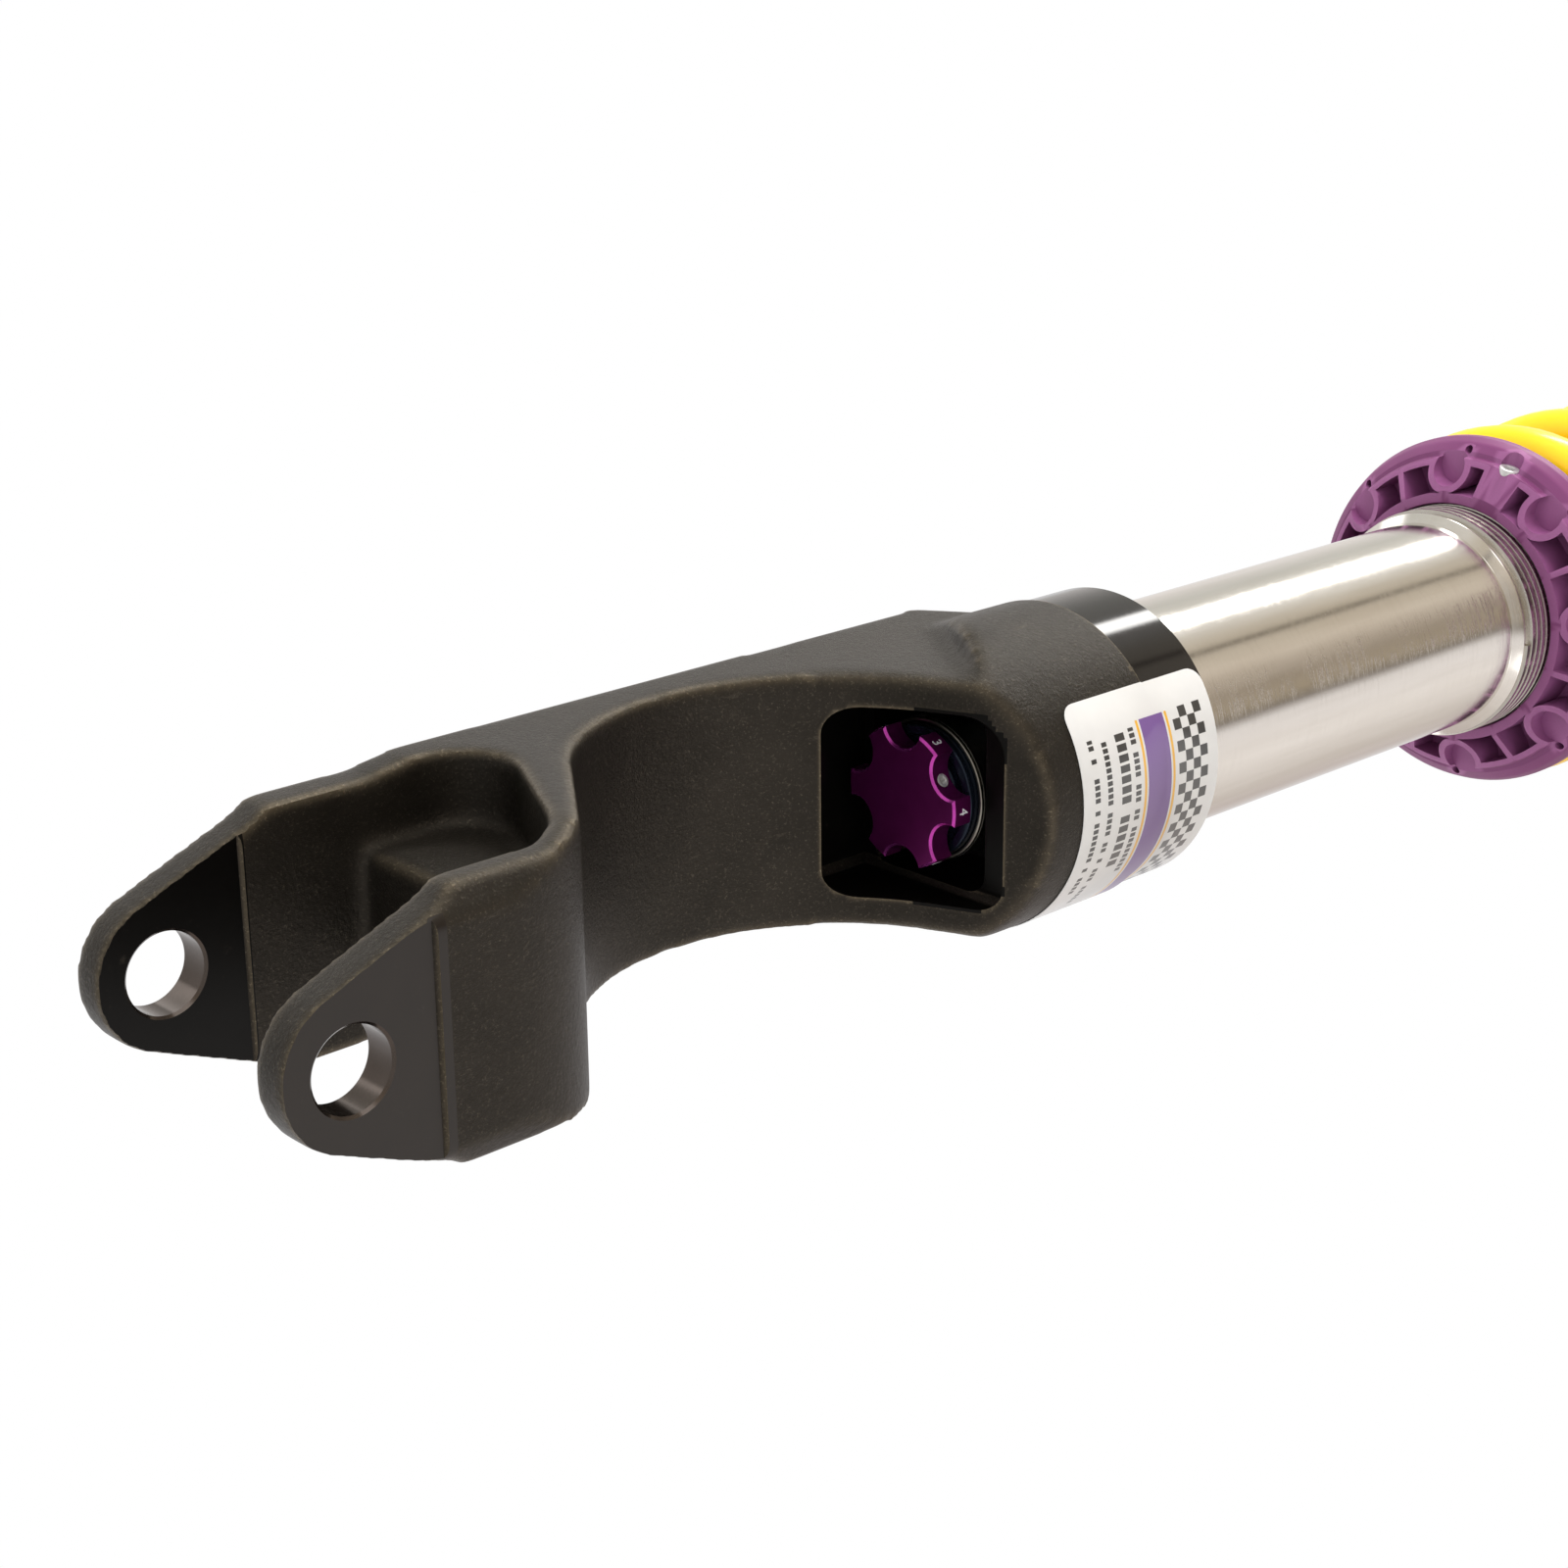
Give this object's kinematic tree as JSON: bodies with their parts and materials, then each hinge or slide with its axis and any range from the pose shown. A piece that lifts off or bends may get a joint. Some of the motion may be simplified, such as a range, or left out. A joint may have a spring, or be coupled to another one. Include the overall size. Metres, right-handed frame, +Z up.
{
  "type": "coilover",
  "caption": "Adjustable coilover with a forged clevis fork, polished damper tube, threaded spring perch, coil spring and studded rubber top mount.",
  "frame": {"origin": "centre of the fork's bolt hole, midway between the ears, on the strut's axis", "axes": "+Z up the strut towards the top mount, +X along the fork bolt towards the scooped side, +Y completes the right-handed set"},
  "size_m": [0.1086, 0.1085, 0.6506],
  "materials": {
    "forged_fork": "forged skin, hard anodised almost black, machined where it fits",
    "polished_tube": "polished stainless with fine lengthwise scratches",
    "label_foil": "printed white foil under clear film",
    "drawn_steel": "drawn, lightly oiled",
    "turned_alloy": "turned, bare",
    "sintered_steel": "sintered, ground faces",
    "shim_steel": "hardened spring steel",
    "dark_steel": "black oxide",
    "blue_black_alloy": "anodised blue-black",
    "ring_steel": "bright, rolled edges",
    "ball_steel": "polished ball",
    "bush_bronze": "bronze backed, dry lined",
    "seal_rubber": "nitrile, smooth",
    "black_alloy": "anodised black",
    "purple_alloy": "anodised dark purple, bright cut edges",
    "bright_screw": "bright plated",
    "ground_steel": "ground",
    "slip_nylon": "filled nylon",
    "purple_perch": "anodised satin purple",
    "pad_nylon": "natural nylon",
    "yellow_powder_coat": "semi-gloss powder coat, slight orange peel",
    "rod_chrome": "hard chrome, ground",
    "band_ptfe": "filled PTFE",
    "stop_urethane": "cast urethane",
    "bump_foam": "closed-cell urethane foam",
    "black_plastic": "moulded, fine grain",
    "isolator_rubber": "moulded natural rubber",
    "black_paint": "satin black e-coat",
    "cast_alloy": "die cast, shot blasted, machined faces",
    "zinc_steel": "yellow zinc plated"
  },
  "bodies": {
    "damper_body": {"fork_clevis": "forged_fork", "fork_neck": "forged_fork", "fork_collar": "forged_fork", "damper_tube": "polished_tube", "socket_label": "label_foil", "pressure_tube": "drawn_steel", "base_cap": "turned_alloy", "foot_valve_body": "sintered_steel", "foot_valve_shims": "shim_steel", "foot_valve_bolt": "dark_steel", "adjuster_housing": "blue_black_alloy", "retaining_ring": "ring_steel", "detent_ball": "ball_steel", "detent_spring": "shim_steel", "rod_guide": "turned_alloy", "guide_bush": "bush_bronze", "rod_seal": "seal_rubber", "tube_cap": "black_alloy", "rod_wiper": "seal_rubber"},
    "compression_adjuster": {"compression_knob": "purple_alloy", "knob_screw": "bright_screw"},
    "needle": {"compression_needle": "ground_steel"},
    "spring_seat": {"slip_ring": "slip_nylon", "main_spring": "yellow_powder_coat"},
    "perch": {"spring_perch": "purple_perch", "locking_screw": "bright_screw", "locking_pad": "pad_nylon"},
    "upper": {"piston_rod": "rod_chrome", "piston": "sintered_steel", "piston_band": "band_ptfe", "compression_shims": "shim_steel", "rebound_shims": "shim_steel", "backing_washer": "dark_steel", "piston_nut": "dark_steel", "rebound_stop": "stop_urethane", "bump_stop": "bump_foam", "bump_cup": "black_plastic", "dust_tube": "black_plastic", "upper_isolator": "isolator_rubber", "upper_spring_plate": "black_paint", "mount_housing": "cast_alloy", "mount_bushing": "isolator_rubber", "bushing_sleeve": "drawn_steel", "mount_cap": "black_paint", "lower_washer": "zinc_steel", "upper_washer": "zinc_steel", "rod_nut": "zinc_steel", "mount_studs": "zinc_steel"},
    "rebound_adjuster": {"rebound_dial": "purple_alloy", "dial_screw": "bright_screw", "control_rod": "ground_steel"}
  },
  "joints": [
    {"name": "ride_height", "type": "slide", "parent": "damper_body", "child": "spring_seat", "axis": [0, 0, 1], "range_m": [0, 0.025]},
    {"name": "perch_spin", "type": "hinge", "parent": "spring_seat", "child": "perch", "pos_m": [0, 0, 0.3475], "axis": [0, 0, 1], "range_deg": [0, 4500]},
    {"name": "damper_stroke", "type": "slide", "parent": "spring_seat", "child": "upper", "axis": [0, 0, 1], "range_m": [-0.085, 0], "stiffness_N_per_m": 93400, "deforming": ["main_spring"]},
    {"name": "compression_adjust", "type": "hinge", "parent": "damper_body", "child": "compression_adjuster", "pos_m": [0, 0, 0.1545], "axis": [0, 0, 1], "range_deg": [0, 360]},
    {"name": "needle_lift", "type": "slide", "parent": "damper_body", "child": "needle", "axis": [0, 0, 1], "range_m": [0, 0.001]},
    {"name": "rebound_adjust", "type": "hinge", "parent": "upper", "child": "rebound_adjuster", "pos_m": [0, 0, 0.632], "axis": [0, 0, 1], "range_deg": [0, 360]}
  ],
  "couplings": [
    {"joint": "perch_spin", "follows": "ride_height", "rad_per_m": 3141.6},
    {"joint": "compression_adjust", "follows": "needle_lift", "rad_per_m": 6283.2}
  ]
}
